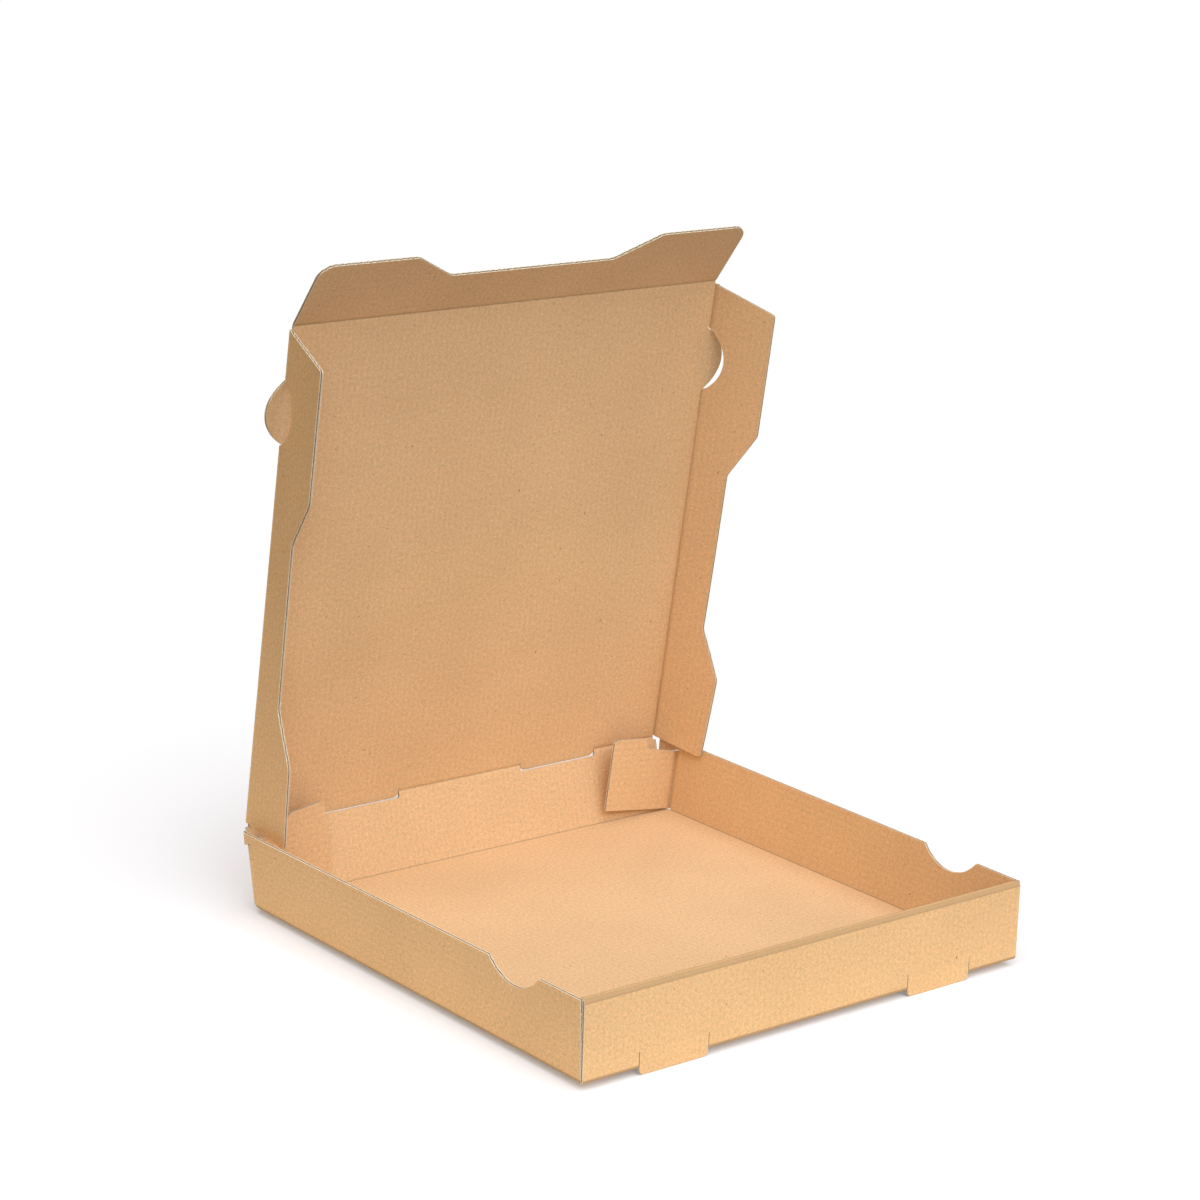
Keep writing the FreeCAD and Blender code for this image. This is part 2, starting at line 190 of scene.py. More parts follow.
class FlapSizes(bpy.types.PropertyGroup):
    """Flaps of the lid and of the side walls."""
    front_depth: length("Front flap depth", 38.5 * MM, "Crease to the edge of the deep ends")
    front_waist: length("Front flap waist", 24 * MM, "Crease to the edge of the shallow middle")
    front_deep_end: length("Front flap deep end", 54 * MM, "Deep end along the edge")
    front_corner: length("Front flap corner", 8 * MM, "Rounding of the front flap")
    side_depth: length("Side flap depth", 34.5 * MM, "Crease to the edge of the deep ends")
    side_waist: length("Side flap waist", 21 * MM, "Crease to the edge of the shallow middle")
    side_front_gap: length("Side flap front gap", 2.2 * MM, "Side flap to the front crease")
    side_front_taper: length("Side flap front taper", 8.5 * MM, "Front end cut back")
    side_rear_gap: length("Side flap rear gap", 0.6 * MM, "Side flap to the hinge")
    side_rear_taper: length("Side flap rear taper", 0.9 * MM, "Rear end cut back")
    side_front_part: length("Side flap front part", 65 * MM, "Deep front part along the edge")
    side_rear_part: length("Side flap rear part", 43 * MM, "Deep rear part along the edge")
    waist_slope: length("Waist slope", 24.5 * MM, "Run between deep and shallow edges")
    left_front_fold: angle("Left flap at the front", 82.5, "Fold of the left flap's front end")
    left_rear_fold: angle("Left flap at the hinge", 89.5, "Fold of the left flap's rear end")
    right_front_fold: angle("Right flap at the front", 65.3, "Fold of the right flap's front end")
    right_rear_fold: angle("Right flap at the hinge", 83.2, "Fold of its rear end, caught by the wall")
    corner_length: length("Corner flap length", 45 * MM, "Crease to the free edge")
    corner_foot: length("Corner flap foot", 2 * MM, "Lower edge above the underside")
    corner_top: length("Corner flap top", 41.5 * MM, "Upper edge above the underside")
    corner_rise: length("Corner flap rise", 1.2 * MM, "Lower edge, from the crease to the free end")
    corner_crease_top: length("Corner crease top", 33.6 * MM, "Crease's upper end above the underside")
    corner_saddle_run: length("Corner saddle run", 20.4 * MM, "Crease to the end of the low upper edge")
    corner_saddle_top: length("Corner saddle top", 35.7 * MM, "Upper edge where a lid flap's end passes")
    corner_run: length("Corner flap chamfer run", 24 * MM, "Crease to the full height")
    corner_nose: length("Corner flap nose", 1.8 * MM, "Cut at the free upper corner")
    left_corner_fold: angle("Left corner fold", 88, "Left corner flap from its wall's plane")
    right_corner_fold: angle("Right corner fold", 92, "Right corner flap from its wall's plane")


class PaperColours(bpy.types.PropertyGroup):
    """Kraft papers of the board."""
    outside: colour("Outside liner", (0.79, 0.50, 0.24), "Paper on the outside")
    inside: colour("Inside liner", (0.75, 0.495, 0.265), "Paper on the inside")
    cut: colour("Cut edge", (0.90, 0.74, 0.55), "Torn fibres at cut edges")
    fluting: colour("Fluting", (0.42, 0.27, 0.15), "Wavy sheet between the liners")
    fleck: colour("Fleck", (0.22, 0.12, 0.05), "Dark flecks in the paper")


class StageSettings(bpy.types.PropertyGroup):
    """Camera and light."""
    azimuth: angle("Azimuth", -38.91, "Camera's place round the box, from the front")
    elevation: angle("Elevation", 15.34, "Camera's height above the floor")
    roll: angle("Roll", 1.87, "Camera's turn about its line of sight")
    distance: length("Distance", 2.17645, "Camera to the point that it looks at")
    lens: FloatProperty(name="Lens", description="Focal length for a 36 mm wide image", default=99.378)
    aim_x: FloatProperty(name="Aim X", description="Point on the floor that it looks at", default=0.3637)
    aim_y: FloatProperty(name="Aim Y", description="Point on the floor that it looks at", default=0.48118)
    key: FloatProperty(name="Key light", description="Soft light from above", default=2.5)
    front: FloatProperty(name="Front light", description="Soft light from the front, low", default=1.1)
    side: FloatProperty(name="Side light", description="Soft warm light from the left", default=0.62)
    ambient: FloatProperty(name="Ambient", description="Even light from all round", default=0.25)
    table_reach: length("Table reach", 0.34, "Pale floor round the box that throws light back")


# Flat board

def flat_sheet(corners, across, along, holes):
    """Mesh of the flat outline (x, y, corner cut), split at the given places, without its holes."""
    bm = bmesh.new()
    verts = [bm.verts.new((x, y, 0)) for x, y, cut in corners]
    bm.faces.new(verts)
    for vert, (x, y, cut) in zip(verts, corners):
        if cut > 0:
            steps = SMALL_CORNER_STEPS if cut < SMALL_CORNER else WIDE_CORNER_STEPS
            bmesh.ops.bevel(bm, geom=[vert], offset=cut, offset_type="OFFSET", affect="VERTICES",
                            segments=steps, profile=0.5, material=-1, clamp_overlap=True)
    bmesh.ops.remove_doubles(bm, verts=bm.verts[:], dist=SAME_PLACE)
    for x0, x1, y0, y1 in holes:
        across = sorted(set(across) | {x0, x1})
        along = sorted(set(along) | {y0, y1})
    for places, normal in ((across, X_AXIS), (along, Y_AXIS)):
        for place in places:
            bmesh.ops.bisect_plane(bm, geom=bm.verts[:] + bm.edges[:] + bm.faces[:], dist=ON_PLANE,
                                   plane_co=normal * place, plane_no=normal)
    for x0, x1, y0, y1 in holes:
        inside = [face for face in bm.faces if is_between(face.calc_center_median(), x0, x1, y0, y1)]
        bmesh.ops.delete(bm, geom=inside, context="FACES")
    return bm


def is_between(point, x0, x1, y0, y1):
    return x0 < point.x < x1 and y0 < point.y < y1


def mirrored(right):
    """Left-hand half of an outline, from its right-hand half."""
    return [(-x, y, cut) for x, y, cut in reversed(right)]


def steps_between(start, end, step):
    """Even places strictly between start and end."""
    count = max(1, round((end - start) / step))
    return [start + (end - start) * i / count for i in range(1, count)]


def add_layer(board, sheet, thickness):
    """Gives the open sheet its thickness, centred on where it lies, and adds it to board."""
    bmesh.ops.translate(sheet, verts=sheet.verts[:], vec=Z_AXIS * (thickness / 2))
    bmesh.ops.solidify(sheet, geom=sheet.faces[:], thickness=thickness)
    bmesh.ops.recalc_face_normals(sheet, faces=sheet.faces[:])
    layer = bpy.data.meshes.new("layer")
    sheet.to_mesh(layer)
    sheet.free()
    board.from_mesh(layer)
    bpy.data.meshes.remove(layer)


def fluted_board(corners, across=(), along=(), holes=()):
    """Flat board with its flutes along Y: outside liner at the bottom, fluting, inside liner on top."""
    sizes = bpy.context.scene.board_sizes
    half = sizes.thickness / 2
    board = bmesh.new()
    for side in (-1, 1):
        liner = flat_sheet(corners, across, along, holes)
        bmesh.ops.translate(liner, verts=liner.verts[:], vec=Z_AXIS * (side * (half - sizes.liner / 2)))
        add_layer(board, liner, sizes.liner)
    left = min(x for x, y, cut in corners)
    right = max(x for x, y, cut in corners)
    step = sizes.pitch / FLUTE_STEPS
    waves = [step * i for i in range(math.ceil(left / step), math.floor(right / step) + 1)]
    fluting = flat_sheet(corners, sorted(set(waves) | set(across)), along, holes)
    crest = half - sizes.liner - sizes.fluting / 2 - GLUE_LINE
    for vert in fluting.verts:
        vert.co.z = crest * math.cos(math.tau * vert.co.x / sizes.pitch)
    add_layer(board, fluting, sizes.fluting)
    paint_by_place(board, half)
    lay_out_paper(board)
    return board


def paint_by_place(board, half):
    """Gives the two outer faces their papers, the rims the cut finish and the rest the fluting's."""
    for face in board.faces:
        height = face.calc_center_median().z
        if abs(face.normal.z) < 0.7:
            face.material_index = CUT
        elif height > half - SAME_PLACE:
            face.material_index = INSIDE
        elif height < SAME_PLACE - half:
            face.material_index = OUTSIDE
        else:
            face.material_index = FLUTE


def lay_out_paper(board):
    """UV map in metres on the flat blank, so that paper and flutes run on over the folds."""
    layer = board.loops.layers.uv.new("blank")
    for face in board.faces:
        for loop in face.loops:
            loop[layer].uv = (loop.vert.co.x, loop.vert.co.y)


def place_board(board, place, score=None):
    """Moves each flat point (x, y, height) to where place puts it, and marks how near it is to a fold,
    which sets the painted fold shade there.
    """
    # score: nearness to a fold, the mask for the painted shade on folds
    layer = board.verts.layers.float.new("score")
    for vert in board.verts:
        vert[layer] = score(vert.co.x, vert.co.y) if score else 0.0
        vert.co = place(vert.co.x, vert.co.y, vert.co.z)


def finished(name, boards):
    """Object from the placed boards, with papers, smooth folds and crisp edges."""
    mesh = bpy.data.meshes.new(name)
    whole = bmesh.new()
    for board in boards:
        part = bpy.data.meshes.new("part")
        bmesh.ops.recalc_face_normals(board, faces=board.faces[:])
        board.to_mesh(part)
        board.free()
        whole.from_mesh(part)
        bpy.data.meshes.remove(part)
    whole.to_mesh(mesh)
    whole.free()
    mesh.shade_smooth()
    mesh.set_sharp_from_angle(angle=SHARP_ANGLE)
    for paper in papers():
        mesh.materials.append(paper)
    piece = bpy.data.objects.new(name, mesh)
    bpy.context.scene.collection.objects.link(piece)
    return piece


# Folds

class FoldedPath:
    """Line through corner points in a plane, rounded at each corner, measured along its length."""

    def __init__(self, points, radius):
        self.parts = []
        self.starts = []
        self.ends = []
        reach = 0.0
        at = points[0]
        for before, corner, after in zip(points, points[1:], points[2:]):
            along = (corner - before).normalized()
            onward = (after - corner).normalized()
            turn = along.angle_signed(onward)
            tangent = radius * math.tan(abs(turn) / 2)
            straight = (corner - at).length - tangent
            self.parts.append((reach, straight, at, along, 0.0))
            reach += straight
            self.starts.append(reach + tangent)
            arc = radius * abs(turn)
            self.parts.append((reach, arc, at + along * straight, along, turn))
            reach += arc
            self.ends.append(reach - tangent)
            at = corner + onward * tangent
        last = points[-1] - at
        self.parts.append((reach, last.length, at, last.normalized(), 0.0))
        self.length = reach + last.length

    def before(self, corner, distance):
        """Place along the line at a distance before a corner."""
        return self.starts[corner] - distance

    def after(self, corner, distance):
        return self.ends[corner] + distance

    def bends(self, steps):
        """Places that split each arc evenly, with its two ends and a place beyond each."""
        places = []
        for start, arc, *rest in self.parts:
            if rest[2]:
                places += [start + arc * i / steps for i in range(steps + 1)]
                places += [start - FOLD_EDGE, start + arc + FOLD_EDGE]
        return places

    def score(self, reach):
        """1 on a fold, dying away on both sides of it: the mask of the painted fold shade."""
        nearest = min(max(start - reach, reach - start - arc, 0.0)
                      for start, arc, *rest in self.parts if rest[2])
        return max(0.0, 1 - nearest / FOLD_EDGE)

    def at(self, reach, offset):
        """Point at reach along the line, offset to the right-hand side of it."""
        part = [p for p in self.parts if p[0] <= reach][-1] if reach > 0 else self.parts[0]
        start, span, point, along, turn = part
        travelled = reach - start
        if turn:
            radius = span / abs(turn)
            swept = travelled / radius * math.copysign(1, turn)
            centre = point + turned_flat(along, math.copysign(math.pi / 2, -turn)) * radius
            point = centre + turned_flat(point - centre, -swept)
            along = turned_flat(along, -swept)
        else:
            point = point + along * travelled
        return point + Vector((along.y, -along.x)) * offset


def turned_flat(vector, turn):
    """2D vector turned counter-clockwise."""
    return Matrix.Rotation(turn, 2) @ vector


def soft_step(t):
    """0 up to t = 0 and 1 from t = 1, with a smooth rise between."""
    t = min(1.0, max(0.0, t))
    return t * t * (3 - 2 * t)


class Crease:
    """A moving crease. Flat points are (along the axis, across it, height), and the far side folds up."""

    def __init__(self, point, axis, forward, inward, fold, extra=0.0, span=1.0, sunk=0.0):
        self.point = point
        self.axis = axis
        self.forward = forward
        self.inward = inward
        self.fold = fold
        self.extra = extra
        self.span = span
        self.sunk = sunk

    def fold_along(self, along):
        """Fold at a place along the crease. The extra fold at its start dies away along it."""
        share = 1 - min(1.0, max(0.0, along / self.span))
        return self.fold + self.extra * share ** 3

    def score(self, along, across):
        """1 on the crease, dying away on both sides of it: the mask of the painted fold shade."""
        return max(0.0, 1 - abs(across) / bpy.context.scene.board_sizes.crease)

    def place(self, along, across, height):
        sizes = bpy.context.scene.board_sizes
        turn = self.fold_along(along) * soft_step((across + sizes.crease) / (2 * sizes.crease))
        forward = self.forward * math.cos(turn) + self.inward * math.sin(turn)
        inward = self.inward * math.cos(turn) - self.forward * math.sin(turn)
        crushed = 1 - 0.3 * math.exp(-((across / sizes.score) ** 2))
        raised = (height + self.sunk) * crushed - self.sunk
        return self.point + self.axis * along + forward * across + inward * (raised - self.sunk)


def bend_steps():
    """Places across a crease that let it bend smoothly."""
    crease = bpy.context.scene.board_sizes.crease
    return steps_between(-crease, crease, crease / HALF_CREASE_STEPS)


# Materials

def papers():
    """The outside paper, the inside paper, the cut edge and the fluting."""
    colours = bpy.context.scene.paper_colours
    made = bpy.data.materials
    if "kraft_outside" not in made:
        kraft_paper("kraft_outside", colours.outside, colours.fleck, 0.0)
        kraft_paper("kraft_inside", colours.inside, colours.fleck, 7.0)
        torn_edge("cut_edge", colours.cut)
        torn_edge("fluting", colours.fluting)
    return [made["kraft_outside"], made["kraft_inside"], made["cut_edge"], made["fluting"]]


class NodeDesk:
    """Short forms for adding and linking the nodes of one material."""

    def __init__(self, name):
        self.material = bpy.data.materials.new(name)
        self.material.use_nodes = True
        self.tree = self.material.node_tree
        self.shader = self.tree.nodes["Principled BSDF"]

    def node(self, kind, inputs=(), **settings):
        made = self.tree.nodes.new(kind)
        for name, value in settings.items():
            setattr(made, name, value)
        for name, value in dict(inputs).items():
            if isinstance(value, bpy.types.NodeSocket):
                self.tree.links.new(value, made.inputs[name])
            else:
                made.inputs[name].default_value = value
        return made

    def link(self, source, target):
        self.tree.links.new(source, target)

    def noise(self, where, scale, detail=3.0, rough=0.55):
        values = {"Vector": where, "Scale": scale, "Detail": detail, "Roughness": rough}
        return self.node("ShaderNodeTexNoise", values).outputs["Fac"]

    def stretched(self, where, scale, shift=0.0):
        values = {"Vector": where, "Scale": scale, "Location": (shift, shift, 0.0)}
        return self.node("ShaderNodeMapping", values).outputs["Vector"]

    def ramp(self, value, low, high):
        """0 at low and 1 at high."""
        values = {"Value": value, "From Min": low, "From Max": high}
        return self.node("ShaderNodeMapRange", values).outputs["Result"]

    def math(self, kind, first, second):
        return self.node("ShaderNodeMath", {0: first, 1: second}, operation=kind).outputs[0]

    def mix(self, share, first, second, blend="MIX"):
        made = self.node("ShaderNodeMix", data_type="RGBA", blend_type=blend)
        sockets = (made.inputs[0], made.inputs[6], made.inputs[7])
        for socket, value in zip(sockets, (share, first, second)):
            if isinstance(value, bpy.types.NodeSocket):
                self.tree.links.new(value, socket)
            else:
                socket.default_value = value
        return made.outputs[2]


def opaque(rgb, factor=1.0):
    return (min(1.0, rgb[0] * factor), min(1.0, rgb[1] * factor), min(1.0, rgb[2] * factor), 1.0)


def kraft_paper(name, rgb, fleck, shift):
    """Kraft liner: clouds of fibres, pale and dark flecks, faint flutes below and painted shade darkening
    the folds.
    """
    desk = NodeDesk(name)
    blank = desk.node("ShaderNodeUVMap", uv_map="blank").outputs["UV"]
    moved = desk.stretched(blank, (1, 1, 1), shift)
    fibres = desk.noise(desk.stretched(moved, (1500, 900, 1)), 1.0, 3.0, 0.65)
    clouds = desk.noise(desk.stretched(moved, (620, 480, 1), 5.0), 1.0, 3.0, 0.7)
    grain = desk.math("ADD", desk.math("MULTIPLY", fibres, 0.6), desk.math("MULTIPLY", clouds, 0.4))
    ribs = flute_ribs(desk, blank)
    tone = flecked_tone(desk, moved, grain, rgb, fleck)
    tone = desk.mix(1.0, tone, desk.mix(ribs, (0.98, 0.98, 0.98, 1), (1.01, 1.01, 1.01, 1)), "MULTIPLY")
    # Painted shade: darker along the folds, where shade falls in them
    tone = painted_fold_shade(desk, tone, rgb)
    matt = desk.node("ShaderNodeMapRange", {"Value": clouds, "To Min": 0.75, "To Max": 0.92})
    rough = desk.node("ShaderNodeBump", {"Height": grain, "Strength": 0.3, "Distance": 0.00014})
    waves = desk.node("ShaderNodeBump", {"Height": ribs, "Strength": 0.35, "Distance": 0.00004,
                                         "Normal": rough.outputs["Normal"]})
    desk.link(tone, desk.shader.inputs["Base Color"])
    desk.link(matt.outputs["Result"], desk.shader.inputs["Roughness"])
    desk.link(waves.outputs["Normal"], desk.shader.inputs["Normal"])
    desk.shader.inputs["Specular IOR Level"].default_value = 0.25


def flecked_tone(desk, moved, grain, rgb, fleck):
    """Paper's colour: fine grain, broad shades, dark flecks and pale ones."""
    tone = desk.mix(desk.ramp(grain, 0.36, 0.64), opaque(rgb, 0.81), opaque(rgb, 1.18))
    broad = desk.ramp(desk.noise(moved, 16.0, 2.0), 0.3, 0.7)
    shade = desk.mix(broad, (0.96, 0.955, 0.945, 1), (1.03, 1.03, 1.03, 1))
    tone = desk.mix(1.0, tone, shade, "MULTIPLY")
    dark = desk.noise(desk.stretched(moved, (520, 340, 1), 3.0), 1.0, 2.0, 0.5)
    tone = desk.mix(desk.ramp(dark, 0.71, 0.80), tone, opaque(fleck))
    pale = desk.noise(desk.stretched(moved, (480, 640, 1), 11.0), 1.0, 2.0, 0.5)
    return desk.mix(desk.ramp(pale, 0.70, 0.84), tone, opaque(rgb, 1.32))


def flute_ribs(desk, blank):
    """Faint ribs where the flutes press through: 0 between two of them and 1 on one."""
    wave = desk.math("MULTIPLY", split_x(desk, blank), flute_turns())
    return desk.ramp(desk.math("SINE", wave, 0.0), -1.0, 1.0)


def painted_fold_shade(desk, tone, rgb):
    """Painted shade on the folds: darker on and beside each fold, by the mark that place_board leaves."""
    score = desk.node("ShaderNodeAttribute", attribute_name="score").outputs["Fac"]
    # Painted shade colour: the paper at 0.55 of its brightness, mixed in near each fold
    return desk.mix(desk.math("MULTIPLY", desk.ramp(score, 0.65, 1.0), 0.75), tone, opaque(rgb, 0.55))


def split_x(desk, vector):
    return desk.node("ShaderNodeSeparateXYZ", {"Vector": vector}).outputs["X"]


def flute_turns():
    """Radians of flute wave in one metre across the flutes."""
    return math.tau / bpy.context.scene.board_sizes.pitch


def torn_edge(name, rgb):
    """Cut fibres: pale, rough and slightly uneven."""
    desk = NodeDesk(name)
    blank = desk.node("ShaderNodeTexCoord").outputs["Object"]
    fibres = desk.noise(blank, 1800.0, 3.0, 0.7)
    tone = desk.mix(desk.ramp(fibres, 0.3, 0.7), opaque(rgb, 0.72), opaque(rgb, 1.25))
    desk.link(tone, desk.shader.inputs["Base Color"])
    desk.shader.inputs["Roughness"].default_value = 0.95
    desk.shader.inputs["Specular IOR Level"].default_value = 0.1
    rough = desk.node("ShaderNodeBump", {"Height": fibres, "Strength": 0.4, "Distance": 0.0001})
    desk.link(rough.outputs["Normal"], desk.shader.inputs["Normal"])


# Tray

def rear_corner():
    """Where the middles of the base and the leaning rear wall would meet, and the wall's lean."""
    half = bpy.context.scene.board_sizes.thickness / 2
    fold = Vector((HALF_DEPTH, half))
    hinge = Vector((HINGE.y, HINGE.z))
    reach = hinge - fold
    rise = math.sqrt(reach.length_squared - half * half)
    lean = math.atan2(reach.x, reach.y) + math.atan(half / rise)
    return Vector((HALF_DEPTH - half / math.cos(lean), half)), lean


def middle_path():
    """Front to rear through the board's middle: inner front panel, roll, front panel, base, rear wall."""
    sizes = bpy.context.scene.tray_sizes
    board = bpy.context.scene.board_sizes
    half = board.thickness / 2
    inner = sizes.roll_depth - HALF_DEPTH - half
    outer = half - HALF_DEPTH
    top = sizes.wall_height - half
    corner, lean = rear_corner()
    points = [Vector((inner, 0)), Vector((inner, top)), Vector((outer, top)), Vector((outer, half)),
              corner, Vector((HINGE.y, HINGE.z))]
    return FoldedPath(points, board.fold_radius)


def lock_places():
    spacing = bpy.context.scene.tray_sizes.lock_spacing
    return (-spacing / 2, spacing / 2)


def hinge_tab_places():
    spacing = bpy.context.scene.lid_sizes.hinge_tab_spacing
    return (-spacing / 2, spacing / 2)


def right_edge(path, top):
    """Right-hand outline of the inner front panel, roll, front panel, base and rear wall."""
    board = bpy.context.scene.board_sizes
    wide = bpy.context.scene.tray_sizes.width / 2
    inner_wide = wide - board.thickness
    base_wide = wide - board.thickness / 2 - board.fold_radius
    rear_wide = SIDE_CREASE + board.thickness / 2
    return [(inner_wide, board.thickness, 0), (inner_wide, path.before(0, PLAY), 0),
            (wide, path.after(1, 0), 0), (wide, path.before(2, 0), 0),
            (base_wide, path.after(2, board.fold_radius), 0),
            (base_wide, path.before(3, board.fold_radius), 0),
            (rear_wide, path.after(3, 0), 0), (rear_wide, top, 0)]


def lock_tabs():
    """Tabs on the inner front panel's lower edge, which stand in the slots that the tongues leave."""
    half = bpy.context.scene.tray_sizes.lock_width / 2 - PLAY
    foot = bpy.context.scene.board_sizes.thickness
    tabs = []
    for middle in lock_places():
        tabs += [(middle - half, foot, 0), (middle - half, 0, 0),
                 (middle + half, 0, 0), (middle + half, foot, 0)]
    return tabs


def lock_slots(path):
    """Holes round the lock tongues, from the top of their slits to the inner front panel."""
    sizes = bpy.context.scene.tray_sizes
    half_board = bpy.context.scene.board_sizes.thickness / 2
    half = sizes.lock_width / 2
    start = path.before(2, sizes.slit_rise - half_board)
    end = path.after(2, sizes.roll_depth - half_board + PLAY)
    return [(middle - half, middle + half, start, end) for middle in lock_places()]


def hinge_notches(path, top):
    """Notches in the rear wall's upper edge, from right to left, where the hinge tabs dip in."""
    lid = bpy.context.scene.lid_sizes
    foot = path.length - lid.hinge_tab_drop - lid.hinge_tab_gap
    half = lid.hinge_tab_width / 2 + lid.hinge_tab_gap
    notches = []
    for middle in reversed(hinge_tab_places()):
        notches += [(middle + half, top, 0), (middle + half, foot, NOTCH_CORNER),
                    (middle - half, foot, NOTCH_CORNER), (middle - half, top, 0)]
    return notches


def base_and_end_walls():
    """Rolled front wall, base and rear wall in one run of board."""
    path = middle_path()
    top = path.length - bpy.context.scene.board_sizes.crease
    right = right_edge(path, top)
    outline = lock_tabs() + right + hinge_notches(path, top) + mirrored(right)
    flat = fluted_board(outline, (), path.bends(WALL_FOLD_STEPS), lock_slots(path))

    def place(x, y, height):
        point = path.at(y, -height)
        return Vector((x, point.x, point.y))

    place_board(flat, place, lambda x, y: path.score(y))
    return flat


def lock_tongue(middle):
    """Tongue cut out of the front panel, hanging below the base."""
    sizes = bpy.context.scene.tray_sizes
    board = bpy.context.scene.board_sizes
    half = sizes.lock_width / 2 - sizes.slit_width
    low = -sizes.lock_drop
    high = sizes.slit_rise
    corners = [(middle - half, low, sizes.lock_corner), (middle + half, low, sizes.lock_corner),
               (middle + half, high, 0), (middle - half, high, 0)]
    tongue = fluted_board(corners)
    y_place = board.thickness / 2 - HALF_DEPTH
    place_board(tongue, lambda x, y, height: Vector((x, y_place + height, y)))
    return tongue


def thumb_curve(depth):
    """Distance from a rim to where the two lines meet that a thumb cut of that depth is rounded from."""
    return depth / (math.sqrt(2) - 1)


def thumb_rounding(half_width, apex):
    """Corner cut that rounds a thumb shape from its apex to just short of its two ends."""
    return math.hypot(half_width, apex) * 0.999


def notch_place():
    """Middle of the thumb notches, where the thumb tabs stand when the lid is shut."""
    half = bpy.context.scene.board_sizes.thickness / 2
    return HALF_DEPTH - half - bpy.context.scene.lid_sizes.thumb_tab_place


def side_wall_ends():
    """Front end of a side wall, and where the soft board of its corner flap's crease begins."""
    board = bpy.context.scene.board_sizes
    front = board.thickness - HALF_DEPTH + LAYER_GAP
    rear = joint_place("right_corner_flap_fold").y - board.crease
    return front, rear


def side_wall_path(y):
    """Section through base and side wall. The wall springs outward towards its free rear end."""
    sizes = bpy.context.scene.tray_sizes
    board = bpy.context.scene.board_sizes
    half = board.thickness / 2
    wide = sizes.width / 2
    front, rear = side_wall_ends()
    share = min(1.0, max(0.0, (y - front) / (rear - front)))
    lean = sizes.front_lean + (REAR_SIDE_LEAN - sizes.front_lean) * share
    start = Vector((wide - half - board.fold_radius, half))
    fold = Vector((wide - half / math.cos(lean), half))
    rise = sizes.wall_height - half + half * math.tan(lean)
    top = fold + Vector((math.sin(lean), math.cos(lean))) * rise
    return FoldedPath([start, fold, top], board.fold_radius)


def side_wall_outline(ear, rim):
    """Flat outline of a side wall and its strip of the base: thumb notch, rear ear and foot."""
    sizes = bpy.context.scene.tray_sizes
    front, rear = side_wall_ends()
    crease_start = rear + bpy.context.scene.board_sizes.crease
    notch = notch_place()
    half = sizes.notch_width / 2
    apex = thumb_curve(sizes.notch_depth)
    foot = side_wall_path(rear).before(0, FOOT_START)
    shoulder = rim - sizes.ear_shoulder
    return [(0, front, 0), (rim, front, 0), (rim, notch - half, 0),
            (rim - apex, notch, thumb_rounding(half, apex)), (rim, notch + half, 0),
            (rim, ear, EAR_CORNER), (rim - sizes.ear_drop, ear, 0), (shoulder, crease_start, 0),
            (shoulder, rear, 0), (foot, rear, 0), (foot, rear + FOOT_RUN, 0), (0, rear + FOOT_RUN, 0)]


def side_wall(side):
    """Side wall with its fold, thumb notch and rear ear, which turns inward."""
    sizes = bpy.context.scene.tray_sizes
    middle = side_wall_path(notch_place())
    rim = middle.length
    ear = sizes.right_ear if side > 0 else sizes.left_ear
    rows = steps_between(*side_wall_ends(), ROW_STEP) + [sizes.ear_bend, sizes.ear_bend + 2 * MM]
    flat = fluted_board(side_wall_outline(ear, rim), middle.bends(SIDE_FOLD_STEPS), rows)

    def place(reach, y, height):
        point = side_wall_path(y).at(reach, -height)
        inward = sizes.ear_turn * max(0.0, y - sizes.ear_bend) * soft_step(reach / rim)
        return Vector((side * (point.x - inward), y, point.y))

    place_board(flat, place, lambda reach, y: side_wall_path(y).score(reach))
    return flat


def tucked_flap(side):
    """Front flap of a side wall, hidden inside the rolled front wall."""
    sizes = bpy.context.scene.tray_sizes
    thick = bpy.context.scene.board_sizes.thickness
    outer = sizes.width / 2 - thick / 2
    low = thick
    high = sizes.wall_height - 2 * thick - TUCK_GAP
    corners = [(low, outer - sizes.tucked_reach, 0), (high, outer - sizes.tucked_reach, 0),
               (high, outer, 0), (low, outer, 0)]
    flap = fluted_board(corners)
    y_place = thick * 1.5 + LAYER_GAP - HALF_DEPTH
    lean = math.tan(sizes.front_lean)
    place_board(flap, lambda x, y, height: Vector((side * (y + lean * x), y_place + height, x)))
    return flap


# Lid

def lid_place(x, y, height):
    """Flat point of the lid (across, up from the hinge, height) where the lid stands."""
    return HINGE + X_AXIS * x + LID_UP * y + LID_IN * height


def thumb_circle(gap, beyond):
    """Half chord and reach of a thumb tab's circle, grown by gap, past a line beyond the crease."""
    lid = bpy.context.scene.lid_sizes
    half, reach = lid.thumb_tab_width / 2, lid.thumb_tab_reach
    radius = (half * half + reach * reach) / (2 * reach)
    centre = reach - radius
    grown = radius + gap
    return math.sqrt(grown * grown - (beyond - centre) ** 2), centre + grown - beyond


def lid_board():
    """Lid panel with its half-moon thumb tabs and its hinge tabs."""
    lid = bpy.context.scene.lid_sizes
    crease = bpy.context.scene.board_sizes.crease
    side = SIDE_CREASE - crease
    front = FRONT_CREASE - crease
    chord, reach = thumb_circle(0, -crease)
    apex = thumb_curve(reach)
    place = lid.thumb_tab_place
    half = lid.hinge_tab_width / 2
    tabs = []
    for middle in hinge_tab_places():
        tabs += [(middle - half, crease, 0), (middle - half, -lid.hinge_tab_drop, lid.hinge_tab_corner),
                 (middle + half, -lid.hinge_tab_drop, lid.hinge_tab_corner), (middle + half, crease, 0)]
    right = [(side, crease, 0), (side, place - chord, 0),
             (side + apex, place, thumb_rounding(chord, apex)),
             (side, place + chord, 0), (side, front, 0)]
    board = fluted_board(tabs + right + mirrored(right))
    place_board(board, lid_place)
    return board


